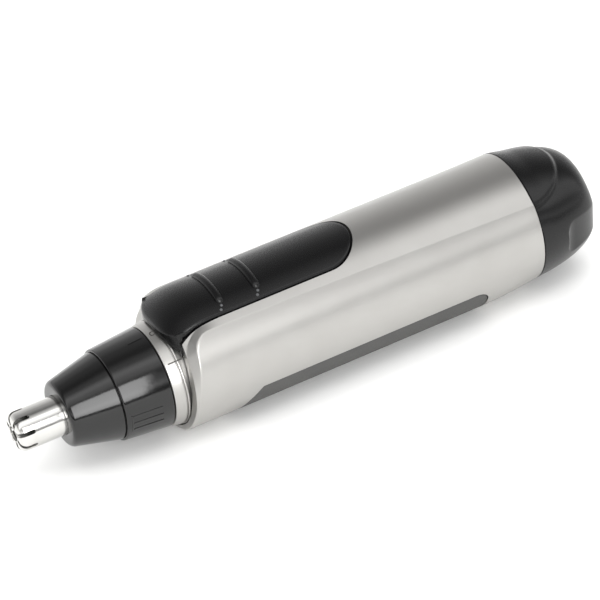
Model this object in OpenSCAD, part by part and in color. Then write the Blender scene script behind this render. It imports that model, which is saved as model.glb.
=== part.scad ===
// Cordless nose hair trimmer for one AA cell, in millimetres.
// The blade points along -X, the switch is on top (+Z) and the grip rests on Z = 0.
// A station is a distance from the tip of the outer blade, measured along +X.

/* [Head] */
// Length of the head, from the blade tip to the neck ring
head_length = 30.2; // [29.5:0.1:31]
// Radius of the steel blade tube
blade_r = 4.0; // [3.8:0.1:4.2]
// Length of blade tube that stands out of the cone
blade_exposed = 9.6; // [9:0.1:10.5]
// Number of slots round the blade tip
blade_slots = 8; // [6:1:10]
// Radius of the cone at its front face
cone_front_r = 6.8; // [6.5:0.1:7]
// Radius of the collar at the neck ring
collar_rear_r = 10.2; // [10:0.1:10.3]

/* [Body] */
// Length of the body shell, from the neck ring to the rear seam
body_length = 78.0; // [77.5:0.1:79]
// Width of the body
body_width = 27.0; // [26.5:0.1:28]
// Height of the body's oval section
body_height = 28.2; // [27.8:0.1:29]
// Height of the flat that is taken off the underside
rest_flat = 0.25; // [0.15:0.05:0.4]
// Drop of the blade axis below the body's centre line
axis_drop = 2.0; // [1.5:0.1:2.2]
// Radius of the bore inside the body shell
cavity_r = 10.9; // [10.85:0.01:11]
// Thickness of the rubber grip panel
grip_t = 1.3; // [1:0.1:1.4]

/* [Switch] */
// Half the width of the slider, seen from above
slider_half_w = 7.9; // [7.5:0.1:8.2]
// Station of the slider's rounded rear end
slider_rear = 74.9; // [74:0.1:76]
// Thickness of the slider's skin
slider_t = 1.3; // [1.1:0.1:1.4]
// Forward travel of the slider from off to on
slider_travel = 2.5; // [2:0.1:2.8]
// Height of the two thumb ribs above the slider
rib_h = 0.5; // [0.3:0.1:0.7]

/* [Rear cap] */
// Length of the rear cap outside the body
cap_length = 13.8; // [13.5:0.1:14.5]
// Gap between parts that move past each other
seam_gap = 0.2; // [0.15:0.05:0.25]

/* [Hidden] */
$fn = 72;

// Stations along the trimmer
ring_length = 3.0;
body_front = head_length + ring_length;
body_rear = body_front + body_length;
cap_front = body_rear + seam_gap;
overall_length = body_rear + cap_length;
cone_front_t = 1.8;
cone_rear = 19.5;
spigot_rear = body_front + 1.4;
front_wall_rear = body_front + 2.2;
motor_front = 38.4;
motor_rear = 56.6;
bulkhead_rear = motor_front - 1.0;
battery_length = 50.5;
battery_front = body_rear - 0.2 - battery_length;

// Heights of the two axes above the rest face
body_z = body_height / 2 - rest_flat;
blade_z = body_z - axis_drop;

// Outer form: an oval section that shrinks to the front in a rounded shoulder
form_front = 30.4;
shoulder_front = 31.7;
shoulder_length = 11.5;
shoulder_power = 1.8;
nose_top_r = 9.8;
nose_half_w = 11.4;
side_round_length = 7.0;
front_tilt = 9;
chin_round_length = 3.0;
chin_rise = 1.6;
heel_start = 98;
heel_rise = 1.3;
neck_clear_r = 11.0;
neck_spigot_r = 9.6;
spigot_socket_r = neck_spigot_r + 0.05;
bezel_t = 0.8;
sliver = 0.02;

// Rear cap
cap_end_half_w = 8.4;
cap_end_half_h = 8.8;
spigot_r = 10.7;
spigot_bore = 9.45;
spigot_front = body_rear - 5.4;
cap_cavity_rear = 118.4;

// Battery compartment
cell_r = 7.25;
tube_bore = 7.6;
tube_r = 8.6;
strip_angle = 60;
strip_width = 20;

// Switch: stations of the parts that the slider carries
rib_stations = [43.9, 51.8];
rib_half_reach = 5.8;
carrier_front = 46.4;
carrier_rear = 54.0;
carrier_under = 23.9;
contact_under = 23.6;
fixed_top = 21.6;
fixed_t = 0.4;

// Small motor and its moving parts
can_r = 7.7;
can_half_flat = 6.6;
can_wall = 0.4;
inner_half_flat = can_half_flat - can_wall;
terminal_y = 3.2;
rotor_front = 42.0;
rotor_length = 9.6;
winding_overhang = 0.6;
shaft_r = 0.75;
screw_offset = 5.8;
screw_r = 0.8;
running_fit = 0.03;
hub_r = 2.2;
stem_r = 1.4;

black = "#1b1b1d";
silver = "#b5b3ae";
steel = "#c9ccd0";
copper = "#c07a45";

function px(station) = station - overall_length / 2;

// Rises from 0 to 1 as t goes from 0 to 1, steeply at first, like a rounded corner
function rounded(t, power) = pow(1 - pow(1 - min(max(t, 0), 1), power), 1 / power);

function oval(half_w, half_h, steps = 60) =
  [for (i = [0:steps - 1]) [half_w * cos(360 * i / steps), half_h * sin(360 * i / steps)]];

function heel(station) = heel_rise * pow(max(station - heel_start, 0) / (body_rear - heel_start), 2);

function top_r(station) =
  nose_top_r + (body_height / 2 - nose_top_r)
  * rounded((station - shoulder_front) / shoulder_length, shoulder_power);

function half_w(station) =
  nose_half_w + (body_width / 2 - nose_half_w)
  * rounded((station - form_front) / side_round_length, shoulder_power);

function under_r(station) =
  body_height / 2 - heel(station)
  - chin_rise * (1 - rounded((station - form_front) / chin_round_length, 2));

// Axis tools: local +Z becomes +X, so a turned profile is a list of [radius, station]
module on_axis(z) {
  translate([-overall_length / 2, 0, z]) rotate([0, 90, 0]) children();
}

module turned(z, profile) {
  on_axis(z) rotate_extrude() polygon(profile);
}

module rod(z, r, from, to) {
  on_axis(z) translate([0, 0, from]) cylinder(r = r, h = to - from);
}

module tube(z, r, bore, from, to) {
  difference() {
    rod(z, r, from, to);
    rod(z, bore, from - 1, to + 1);
  }
}

module oring(z, ring_r, cord_r, station) {
  on_axis(z) translate([0, 0, station])
    rotate_extrude() translate([ring_r, 0]) circle(r = cord_r, $fn = 24);
}

// Curved strip on a cylinder: angle is measured from the +Z side towards -Y
module arc_strip(z, r_in, r_out, from, to, angle, width) {
  on_axis(z) translate([0, 0, from]) rotate([0, 0, 180 + angle - width / 2])
    rotate_extrude(angle = width) translate([r_in, 0]) square([r_out - r_in, to - from]);
}

// Coil spring swept as one closed tube round the axis, its radius growing along it
module coil(z, from, to, r_from, r_to, wire_r, turns, steps = 16, sides = 6) {
  rings = turns * steps;
  points = [
    for (i = [0:rings], j = [0:sides - 1])
      let (
        turn = 360 * i / steps,
        r = r_from + (r_to - r_from) * i / rings + wire_r * cos(360 * j / sides),
        s = from + wire_r + (to - from - 2 * wire_r) * i / rings + wire_r * sin(360 * j / sides)
      ) [r * cos(turn), r * sin(turn), s]
  ];
  walls = [
    for (i = [0:rings - 1], j = [0:sides - 1])
      let (k = (j + 1) % sides)
        [i * sides + j, (i + 1) * sides + j, (i + 1) * sides + k, i * sides + k]
  ];
  start = [[for (j = [0:sides - 1]) j]];
  end = [[for (j = [sides - 1:-1:0]) rings * sides + j]];
  on_axis(z) polyhedron(points, concat(walls, start, end), convexity = 10);
}

// One thin oval slice across the body
module slice(station, top, under, half) {
  translate([px(station), 0, body_z + (top - under) / 2]) rotate([90, 0, 90])
    linear_extrude(sliver) polygon(oval(half, (top + under) / 2));
}

// The body's outer form, drawn in by an inset all round
module body_form(inset = 0) {
  stations = concat(
    [form_front],
    [for (i = [0:6]) shoulder_front + shoulder_length * pow(i / 6, 1.6)],
    [heel_start, (heel_start + body_rear) / 2, body_rear - sliver]
  );
  hull() for (s = stations) slice(s, top_r(s) - inset, under_r(s) - inset, half_w(s) - inset);
}

module box(from, to, half_y, z_from, z_to) {
  translate([px(from), -half_y, z_from]) cube([to - from, 2 * half_y, z_to - z_from]);
}

// Plan outline of the slider: parallel sides and a round rear end
module slider_outline(grow, from) {
  translate([0, 0, body_z]) linear_extrude(body_height) {
    translate([px(slider_rear - slider_half_w), 0]) circle(r = slider_half_w + grow);
    translate([px(from), -slider_half_w - grow])
      square([slider_rear - slider_half_w - from, 2 * (slider_half_w + grow)]);
  }
}

// Plan outline of the grip panel: a bowed front edge and a straight rear edge
module grip_outline() {
  bow_r = 17.2;
  bow_front = 41.4;
  rear = 97.6;
  edge_z = body_z - body_height / 2 * cos(71);
  translate([0, 0, -1]) linear_extrude(edge_z + 1) {
    translate([px(bow_front + bow_r), 0]) circle(r = bow_r);
    translate([px(bow_front + bow_r), -bow_r]) square([rear - bow_front - bow_r, 2 * bow_r]);
  }
}

// ---- Head ----

module outer_blade() {
  wall = 0.4;
  dome = 1.3;
  flange_r = 5.4;
  flange_from = blade_exposed + cone_front_t;
  flange_to = flange_from + 0.7;
  hole_r = 1.5;
  slot_w = 0.8;
  slot_length = 3.2;
  color(steel) difference() {
    turned(blade_z, concat(
      [[hole_r, 0], [hole_r, wall]],
      [for (a = [90:-15:0]) [blade_r - dome + (dome - wall) * cos(a), dome - (dome - wall) * sin(a)]],
      [[blade_r - wall, flange_to], [flange_r, flange_to], [flange_r, flange_from], [blade_r, flange_from]],
      [for (a = [0:15:90]) [blade_r - dome + dome * cos(a), dome - dome * sin(a)]]
    ));
    for (i = [0:blade_slots - 1])
      on_axis(blade_z) rotate([0, 0, 360 * (i + 0.5) / blade_slots])
        translate([hole_r + 0.5, -slot_w / 2, -1]) cube([blade_r, slot_w, slot_length + 1]);
  }
}

module head_cone() {
  corner = 1.2;
  wall = 1.3;
  rear_r = 9.0;
  front = blade_exposed;
  color(black) turned(blade_z, concat(
    [[blade_r, front], [blade_r, front + cone_front_t], [cone_front_r - wall, front + cone_front_t]],
    [[cone_front_r - wall, front + 5], [rear_r - wall, cone_rear - 2.6]],
    [[rear_r - wall, cone_rear], [rear_r, cone_rear]],
    [for (a = [0:15:90])
      [cone_front_r - corner + corner * cos(a), front + corner - corner * sin(a)]]
  ));
}

module head_collar() {
  front_r = 9.4;
  bore = 8.0;
  spigot = 8.1;
  spigot_in = 7.0;
  grip_line_w = 0.5;
  color(black) difference() {
    turned(blade_z, [
      [bore, cone_rear], [bore, 28.4], [spigot_in, 28.4], [spigot_in, spigot_rear],
      [spigot, spigot_rear], [spigot, head_length - seam_gap], [collar_rear_r, head_length - seam_gap],
      [front_r + 0.1, cone_rear + 0.5], [front_r, cone_rear]
    ]);
    for (a = [92, 100, 108], side = [-1, 1])
      on_axis(blade_z) rotate([0, 0, 180 + side * a])
        translate([front_r + 0.1, -grip_line_w / 2, cone_rear + 1.5]) cube([2, grip_line_w, 5.5]);
  }
}

module cutter_bush() {
  color("#e8e6df") difference() {
    union() {
      rod(blade_z, 7.45, 18.8, 20.6);
      rod(blade_z, 3.2, 18.8, 24.0);
    }
    rod(blade_z, stem_r + 0.05, 10, 30);
    for (i = [0:5])
      on_axis(blade_z) rotate([0, 0, 60 * i]) translate([5.3, 0, 18]) cylinder(r = 1.2, h = 4, $fn = 24);
  }
}

module inner_blade() {
  blade_t = 0.5;
  blade_half_w = 3.4;
  tip = 0.6;
  root = 5.4;
  color(steel) {
    difference() {
      union() for (a = [0, 90])
        on_axis(blade_z) rotate([0, 0, a])
          translate([-blade_half_w, -blade_t / 2, tip]) cube([2 * blade_half_w, blade_t, root - tip]);
      turned(blade_z, [
        [2.6, 0], [2.6, tip], [3.1, tip + 0.3], [blade_half_w, tip + 0.9], [5, tip + 0.9], [5, 0]
      ]);
    }
    rod(blade_z, 1.1, tip, root);
  }
}

module blade_shaft() {
  socket_r = 3.0;
  socket_from = 26.4;
  socket_to = 33.4;
  tongue_from = 28.8;
  color("#d9d7d0") difference() {
    union() {
      rod(blade_z, 3.0, 5.4, 7.0);
      rod(blade_z, stem_r, 7.0, socket_from);
      rod(blade_z, 2.8, 12.2, 13.2);
      rod(blade_z, socket_r, socket_from, socket_to);
    }
    rod(blade_z, hub_r - 0.3, tongue_from + 2, socket_to + 1);
    box(tongue_from, socket_to + 1, 0.95, blade_z - socket_r - 1, blade_z + socket_r + 1);
  }
}

module blade_spring() {
  color(steel) coil(blade_z, 13.25, 18.5, 2.1, 2.1, 0.22, 5);
}

// ---- Neck and body ----

module neck_ring() {
  color(silver) difference() {
    turned(blade_z, [
      [8.3, head_length], [8.3, front_wall_rear], [neck_spigot_r, front_wall_rear],
      [neck_spigot_r, body_front],
      [10.85, body_front], [10.8, body_front - 0.5], [10.5, body_front - 0.7],
      [10.5, body_front - 1.0], [10.6, body_front - 1.1], [collar_rear_r, head_length]
    ]);
    tube(blade_z, 9.2, 7, body_front - 0.55, body_front + 0.45);
  }
}

module neck_oring() {
  color("#2a2a2a") oring(blade_z, 8.64, 0.44, body_front - 0.05);
}

module body_shell() {
  color(silver) difference() {
    body_form();
    translate([px(body_front), 0, body_z + 2]) rotate([0, front_tilt, 0])
      translate([-20, -20, -40]) cube([20, 40, 80]);
    rod(blade_z, neck_clear_r, 20, body_front);
    box(0, overall_length, 20, -5, 0);
    rod(body_z, cavity_r, front_wall_rear, body_rear + 1);
    rod(blade_z, spigot_socket_r, 20, front_wall_rear + 1);
    difference() {
      grip_outline();
      body_form(grip_t);
    }
    difference() {
      slider_outline(seam_gap, shoulder_front - 2);
      body_form(slider_t + seam_gap + bezel_t);
    }
    box(42.5, 58, 4.6, body_z, 40);
  }
}

module grip_panel() {
  color("#4a4a48") difference() {
    intersection() {
      body_form();
      grip_outline();
    }
    body_form(grip_t - sliver);
    box(0, overall_length, 20, -5, 0);
  }
}

module switch_bezel() {
  color(black) difference() {
    intersection() {
      body_form(slider_t + seam_gap);
      slider_outline(seam_gap, body_front);
    }
    body_form(slider_t + seam_gap + bezel_t);
    rod(blade_z, spigot_socket_r, 20, front_wall_rear + 1);
    rod(body_z, cavity_r, front_wall_rear, body_rear);
    box(carrier_front - slider_travel - 0.7, carrier_rear + 0.4, 2.5, body_z, 40);
  }
}

module inner_frame() {
  fit_r = cavity_r - 0.05;
  wall_from = motor_rear + 2.0;
  wall_to = battery_front - 0.6;
  cradle_r = 8.9;
  color("#3c3d40") difference() {
    union() {
      rod(body_z, fit_r, front_wall_rear, bulkhead_rear);
      rod(blade_z, cradle_r, bulkhead_rear, wall_from);
      rod(body_z, fit_r, wall_from, wall_to);
      rod(body_z, tube_r, wall_to, body_rear - 2.5);
      box(bulkhead_rear, wall_from, 4.4, body_z, fixed_top - fixed_t);
      tube(body_z, fit_r, tube_r, 101, 103);
    }
    rod(blade_z, 4.4, 30, bulkhead_rear + 1);
    rod(blade_z, can_r + 0.02, bulkhead_rear, wall_from);
    rod(body_z, tube_bore, wall_to, body_rear);
    arc_strip(body_z, tube_r, cavity_r, wall_to + 1, body_rear, strip_angle, strip_width + 4);
    for (y = [-terminal_y, terminal_y])
      translate([px(wall_from - 1), y - 0.9, blade_z - 1.5]) cube([4, 1.8, 3]);
    for (side = [-1, 1])
      rod(blade_z + side * screw_offset, screw_r + 0.05, front_wall_rear - 1, motor_front);
  }
}

// ---- Motor ----

module motor_can() {
  color("#b9bcc0") difference() {
    intersection() {
      rod(blade_z, can_r, motor_front, motor_rear);
      box(motor_front, motor_rear, can_half_flat, blade_z - can_r, blade_z + can_r);
    }
    intersection() {
      rod(blade_z, can_r - can_wall, motor_front + can_wall, motor_rear + 1);
      box(motor_front + can_wall, motor_rear + 1, inner_half_flat, blade_z - can_r, blade_z + can_r);
    }
    rod(blade_z, 2.4, motor_front - 1, motor_front + 1);
  }
}

module motor_endcap() {
  color("#e4e2da") difference() {
    intersection() {
      rod(blade_z, can_r - can_wall, motor_rear - 1.0, motor_rear + 1.6);
      box(motor_rear - 1.0, motor_rear + 1.6, inner_half_flat, blade_z - can_r, blade_z + can_r);
    }
    rod(blade_z, 2.0, motor_rear - 2, motor_rear + 3);
    for (y = [-terminal_y, terminal_y])
      translate([px(motor_rear - 2), y - 0.25, blade_z - 1]) cube([5, 0.5, 2]);
  }
}

module motor_magnets() {
  color("#4b4a4d") for (a = [0, 180])
    arc_strip(blade_z, 5.9, can_r - can_wall, 41.0, 52.6, a, 96);
}

module motor_bushings() {
  color("#b08d57") {
    tube(blade_z, 2.4, shaft_r + running_fit, motor_front - 0.6, motor_front + 1.2);
    tube(blade_z, 2.0, shaft_r + running_fit, motor_rear - 1.0, motor_rear + 0.8);
  }
}

module motor_brushes() {
  color(copper) for (y = [-1, 1])
    translate([px(motor_rear - 3.6), y * 2.3 - 0.15, blade_z - 0.8]) cube([2.6, 0.3, 1.6]);
}

module motor_terminals() {
  color("#c8b070") for (y = [-terminal_y, terminal_y])
    translate([px(motor_rear - 1.0), y - 0.25, blade_z - 1]) cube([4.2, 0.5, 2]);
}

module motor_screws() {
  head_r = 1.5;
  head_h = 0.6;
  socket_r = 0.6;
  color("#8a8d91") for (side = [-1, 1]) difference() {
    union() {
      rod(blade_z + side * screw_offset, head_r, front_wall_rear - head_h, front_wall_rear);
      rod(blade_z + side * screw_offset, screw_r, front_wall_rear, motor_front);
    }
    rod(blade_z + side * screw_offset, socket_r, front_wall_rear - 1, front_wall_rear - 0.2);
  }
}

module shaft_seal() {
  color("#35332f") tube(blade_z, 4.4, hub_r + 0.15, front_wall_rear, bulkhead_rear);
}

module motor_shaft() {
  color(steel) rod(blade_z, shaft_r, 34.0, motor_rear + 0.6);
}

module rotor_core() {
  pole_r = 5.7;
  color("#77797c") on_axis(blade_z) translate([0, 0, rotor_front]) difference() {
    linear_extrude(rotor_length) {
      circle(r = 2.0);
      for (i = [0:2]) rotate(120 * i) {
        translate([0, -0.9]) square([4.6, 1.8]);
        intersection() {
          difference() {
            circle(r = pole_r);
            circle(r = pole_r - 1.1);
          }
          polygon([[0, 0], [8, -7.5], [8, 7.5]]);
        }
      }
    }
    translate([0, 0, -1]) cylinder(r = shaft_r, h = 12);
  }
}

module rotor_windings() {
  color(copper) for (i = [0:2])
    on_axis(blade_z) rotate([0, 0, 120 * i]) for (side = [-1, 1])
      translate([2.1, side * 1.65 - 0.7, rotor_front - winding_overhang])
        cube([1.8, 1.4, rotor_length + 2 * winding_overhang]);
}

module commutator() {
  color(copper) tube(blade_z, 2.0, shaft_r, 52.4, motor_rear - 1.2);
}

module drive_coupling() {
  color("#d9d7d0") difference() {
    union() {
      rod(blade_z, hub_r, 34.4, 37.6);
      rod(blade_z, 1.7, 33.6, 34.4);
      box(29.6, 34.4, 0.75, blade_z - 1.7, blade_z + 1.7);
    }
    rod(blade_z, shaft_r, 34.0, 40);
  }
}

// ---- Switch and contacts ----

module switch_slider() {
  nose_clear_r = 11.2;
  color("#202022") {
    difference() {
      intersection() {
        union() {
          body_form();
          intersection() {
            body_form(-rib_h);
            union() for (s = rib_stations) box(s - 0.7, s + 0.7, rib_half_reach, body_z, 40);
          }
        }
        slider_outline(0, shoulder_front);
      }
      body_form(slider_t);
      rod(blade_z, nose_clear_r, 20, body_front + 0.2);
    }
  }
}

module switch_carrier() {
  color(black) {
    box(carrier_front, carrier_rear, 2.2, carrier_under + 0.8, carrier_under + 2.5);
    box(carrier_front - 0.8, carrier_rear + 0.8, 3.6, carrier_under, carrier_under + 0.8);
  }
}

module moving_contact() {
  color(copper) {
    box(carrier_front + 0.6, carrier_rear - 0.6, 2.6, contact_under, carrier_under);
    for (s = [carrier_front + 1.2, carrier_rear - 2.0])
      box(s, s + 0.8, 2.6, fixed_top + 0.2, contact_under);
  }
}

module fixed_contacts() {
  color("#c8b070") for (s = [41.5, 49.3])
    box(s, s + 5.6, 3.2, fixed_top - fixed_t, fixed_top);
}

module positive_contact() {
  color("#d0c8b8") {
    rod(body_z, 2.8, battery_front - 0.6, battery_front - 0.2);
    translate([px(battery_front - 0.6), 0, blade_z - 1]) cube([0.4, 4.2, 2.4]);
  }
}

module negative_strip() {
  color("#c8b070") arc_strip(body_z, tube_r, tube_r + 0.3, 63, body_rear - 2.6, strip_angle, strip_width);
}

// ---- Battery and rear cap ----

module battery_cell() {
  nub_r = 2.7;
  nub_h = 1.0;
  sleeve_t = 0.15;
  rear = battery_front + battery_length;
  color("#c9c4b4") turned(body_z, [
    [0, battery_front], [nub_r, battery_front], [nub_r, battery_front + nub_h],
    [cell_r - sleeve_t, battery_front + nub_h], [cell_r - sleeve_t, rear], [0, rear]
  ]);
}

module battery_sleeve() {
  color("#5d7f4a") tube(body_z, cell_r, cell_r - 0.15, battery_front + 1.0, body_rear - 0.8);
}

module battery_spring() {
  color(steel) coil(body_z, body_rear - 0.05, cap_cavity_rear - 0.35, 3.2, 5.6, 0.4, 4);
}

module cap_contact() {
  color("#d0c8b8") {
    rod(body_z, 9.4, cap_cavity_rear - 0.3, cap_cavity_rear);
    tube(body_z, 9.4, 9.1, spigot_front + 0.5, cap_cavity_rear - 0.3);
  }
}

// Outside of the rear cap: the body's section drawn in to a rounded end
module cap_form() {
  steps = 7;
  hull() for (i = [0:steps]) {
    t = 1 - pow(1 - i / steps, 2);
    s = cap_front + (overall_length - sliver - cap_front) * t;
    left = rounded(1 - t, 2.4);
    slice(
      s,
      cap_end_half_h + (body_height / 2 - cap_end_half_h) * left,
      cap_end_half_h + (body_height / 2 - heel_rise - cap_end_half_h) * left,
      cap_end_half_w + (body_width / 2 - cap_end_half_w) * left
    );
  }
}

module rear_cap() {
  flat_from = 116.3;
  color("#202022") difference() {
    union() {
      cap_form();
      rod(body_z, spigot_r, spigot_front, cap_front + 1);
    }
    rod(body_z, spigot_bore, spigot_front - 1, cap_cavity_rear);
    tube(body_z, spigot_r + 1, 9.9, spigot_front + 1.6, spigot_front + 2.6);
    for (side = [-1, 1])
      translate([px(flat_from), side * 12.6, body_z - 1]) rotate([0, 0, -side * 16])
        translate([0, side > 0 ? 0 : -10, -8]) cube([14, 10, 16]);
  }
}

module cap_oring() {
  color("#2a2a2a") oring(body_z, 10.34, 0.42, spigot_front + 2.1);
}

outer_blade();
head_cone();
head_collar();
cutter_bush();
inner_blade();
blade_shaft();
blade_spring();
neck_ring();
neck_oring();
body_shell();
grip_panel();
switch_bezel();
inner_frame();
motor_can();
motor_endcap();
motor_magnets();
motor_bushings();
motor_brushes();
motor_terminals();
motor_screws();
shaft_seal();
motor_shaft();
rotor_core();
rotor_windings();
commutator();
drive_coupling();
switch_slider();
switch_carrier();
moving_contact();
fixed_contacts();
positive_contact();
negative_strip();
battery_cell();
battery_sleeve();
battery_spring();
cap_contact();
rear_cap();
cap_oring();
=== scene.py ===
"""Looks of the nose hair trimmer: skins, fine parts and finishes round the CAD frame.

Stations are millimetres from the blade tip, heights are millimetres above the table,
and angles go round the body from the switch at the top (0) to the grip (180).
"""
import math

import bmesh
import bpy
from mathutils import Matrix, Vector


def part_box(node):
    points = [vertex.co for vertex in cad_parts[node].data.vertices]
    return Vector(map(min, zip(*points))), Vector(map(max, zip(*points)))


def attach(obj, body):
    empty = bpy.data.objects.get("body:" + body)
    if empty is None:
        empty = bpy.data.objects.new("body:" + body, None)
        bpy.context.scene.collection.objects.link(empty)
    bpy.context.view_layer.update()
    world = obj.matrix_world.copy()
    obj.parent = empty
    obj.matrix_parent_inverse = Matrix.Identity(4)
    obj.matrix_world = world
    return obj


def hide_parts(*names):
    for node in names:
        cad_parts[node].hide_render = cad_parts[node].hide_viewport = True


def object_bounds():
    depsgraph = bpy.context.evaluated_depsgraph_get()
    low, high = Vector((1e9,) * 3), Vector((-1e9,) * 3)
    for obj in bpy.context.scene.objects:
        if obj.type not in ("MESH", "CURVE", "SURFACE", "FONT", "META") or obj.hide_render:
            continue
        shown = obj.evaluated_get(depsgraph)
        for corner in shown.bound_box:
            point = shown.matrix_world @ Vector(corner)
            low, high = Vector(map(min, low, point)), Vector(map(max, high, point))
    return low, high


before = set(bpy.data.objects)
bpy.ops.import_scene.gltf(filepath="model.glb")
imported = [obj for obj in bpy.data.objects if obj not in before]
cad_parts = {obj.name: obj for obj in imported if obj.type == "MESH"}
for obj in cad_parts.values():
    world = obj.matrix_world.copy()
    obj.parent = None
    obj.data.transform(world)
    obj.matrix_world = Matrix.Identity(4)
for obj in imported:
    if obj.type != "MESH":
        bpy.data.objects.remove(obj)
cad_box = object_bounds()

MM = 0.001
LENGTH = (cad_box[1].x - cad_box[0].x) / MM


def middle_height(node):
    low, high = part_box(node)
    return (low.z + high.z) / 2 / MM


BODY_Z = middle_height("battery_cell")
BLADE_Z = middle_height("motor_shaft")

# The body's oval form, as in the CAD
BODY_HALF_W = 13.5
BODY_HALF_H = 14.1
FORM_FRONT = 29.9
SHOULDER_FRONT = 31.1
SHOULDER_LENGTH = 11.5
SHOULDER_POWER = 1.8
NOSE_TOP_R = 9.8
NOSE_HALF_W = 11.4
SIDE_ROUND_LENGTH = 3.2
CHIN_LENGTH = 3.0
CHIN_RISE = 1.6
HEEL_START = 98.0
HEEL_RISE = 1.3
BODY_FRONT = 33.1
BODY_REAR = 110.3
CAP_FRONT = 110.45
FRONT_SLOPE = math.tan(math.radians(5))
WALL = 2.4

# Switch slider, seen from above
SLIDER_HALF_W = 7.5
SLIDER_REAR = 74.4
SLIDER_GAP = 0.4

# Ridge between the top and the side panels
RIDGE_CORNER = 3.6
RIDGE_FALL = 0.22
CHAMFER_FALL = 0.95
FALL_REACH = 2.2
RIDGE_SOFT = 0.07
BEVEL_W = 1.5
RIDGE_FRONT_ANGLE = 42
RIDGE_SPREAD = 8
RIDGE_SPREAD_FROM = 40

# Grip pad, and rib places on the slider
GRIP_FRONT = 41.4
GRIP_BOW = 5.7
GRIP_REAR = 97.6
GRIP_HALF = math.radians(69) * BODY_HALF_W
GRIP_CORNER = 3.0
GRIP_GAP = 0.12
RIB_STATION = 43.9
RIB_STEP = 7.9

# Rear cap: the lobe at its top and the flats at its sides
LOBE_LENGTH = 9.2
CAP_END_R = 7.4
CAP_FLAT_FROM = 116.3
CAP_FLAT_ANGLE = 95


# ---------------------------------------------------------------- form of the body

def at(station, y, z):
    """A place given in millimetres, as a point of the shared frame in metres."""
    return Vector((cad_box[0].x + station * MM, y * MM, z * MM))


def rounded(t, power):
    """Rises from 0 to 1, steeply at first, like a rounded corner."""
    t = min(max(t, 0.0), 1.0)
    return (1 - (1 - t) ** power) ** (1 / power)


def smooth(t):
    t = min(max(t, 0.0), 1.0)
    return t * t * (3 - 2 * t)


def oval_radius(station, angle, shoulder=True):
    """Distance from the body's axis to its plain oval form, with or without its drop to the nose."""
    top = BODY_HALF_H
    if shoulder:
        top = NOSE_TOP_R + (BODY_HALF_H - NOSE_TOP_R) * rounded(
            (station - SHOULDER_FRONT) / SHOULDER_LENGTH, SHOULDER_POWER)
    heel = HEEL_RISE * (max(station - HEEL_START, 0) / (BODY_REAR - HEEL_START)) ** 2
    under = BODY_HALF_H - heel - CHIN_RISE * (1 - rounded((station - FORM_FRONT) / CHIN_LENGTH, 2))
    half_w = NOSE_HALF_W + (BODY_HALF_W - NOSE_HALF_W) * rounded(
        (station - FORM_FRONT) / SIDE_ROUND_LENGTH, SHOULDER_POWER)
    centre = (top - under) / 2
    half_h = (top + under) / 2
    across = math.sin(angle) / half_w
    up = math.cos(angle) / half_h
    a = across ** 2 + up ** 2
    b = up * centre / half_h
    c = (centre / half_h) ** 2 - 1
    return (b + math.sqrt(b * b - a * c)) / a


def front_edge(angle):
    """Station of the body's front edge, which leans back towards the top."""
    return BODY_FRONT + (12.4 * math.cos(angle) - 2) * FRONT_SLOPE


def ridge_angle(station):
    """Angle of the ridge between the top and the side panel."""
    along = max(station - RIDGE_SPREAD_FROM, 0) / (BODY_REAR - RIDGE_SPREAD_FROM)
    return math.radians(RIDGE_FRONT_ANGLE + RIDGE_SPREAD * along ** 1.2)


def panel_depth(station, angle, front=True):
    """Distance inside the side panel's outline, and how far round its front corner that is (0 to 1)."""
    angle = abs((angle + math.pi) % (2 * math.pi) - math.pi)
    down = (angle - ridge_angle(station)) * BODY_HALF_W
    if not front:
        return down, 0.0
    strip = 0.4 + 1.2 * smooth((math.radians(110) - angle) / math.radians(60))
    back = station - front_edge(angle) - strip
    if down < RIDGE_CORNER and back < RIDGE_CORNER:
        a, b = RIDGE_CORNER - down, RIDGE_CORNER - back
        return RIDGE_CORNER - math.hypot(a, b), math.atan2(b, a) / (math.pi / 2)
    return (down, 0.0) if down < back else (back, 1.0)


def ridge_fall(station, angle, front=True):
    """How far the surface falls away outside the side panel's outline."""
    depth, turn = panel_depth(station, angle, front)
    out = (math.sqrt(depth * depth + RIDGE_SOFT ** 2) - depth) / 2
    fall = RIDGE_FALL + (CHAMFER_FALL - RIDGE_FALL) * smooth((turn - 0.2) / 0.7)
    return fall * FALL_REACH * (1 - math.exp(-out / FALL_REACH))


def skin_radius(station, angle, front=True):
    """Distance from the body's axis to its skin: the side panels keep their full form up to the nose."""
    r = oval_radius(station, angle)
    if station < SHOULDER_FRONT + SHOULDER_LENGTH:
        reach = min(max(1 + panel_depth(station, angle, front)[0] / BEVEL_W, 0), 1)
        r += (oval_radius(station, angle, shoulder=False) - r) * reach
    return r - ridge_fall(station, angle, front)


def body_point(station, angle, inset=0.0, front=True):
    """A point on the body's skin, drawn in by an inset. The underside has a narrow flat."""
    r = skin_radius(station, angle, front) - inset
    return at(station, r * math.sin(angle), max(BODY_Z + r * math.cos(angle), inset))


def top_point(station, y, inset=0.0):
    """A point on the top skin above a given y."""
    angle = math.asin(y / BODY_HALF_H)
    for _ in range(6):
        r = skin_radius(station, angle, front=False)
        angle = math.asin(max(min(y / r, 1), -1))
    r -= inset
    return at(station, y, BODY_Z + r * math.cos(angle))


# ---------------------------------------------------------------- mesh tools

def new_object(name, mesh):
    obj = bpy.data.objects.new(name, mesh)
    bpy.context.scene.collection.objects.link(obj)
    return obj


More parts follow.
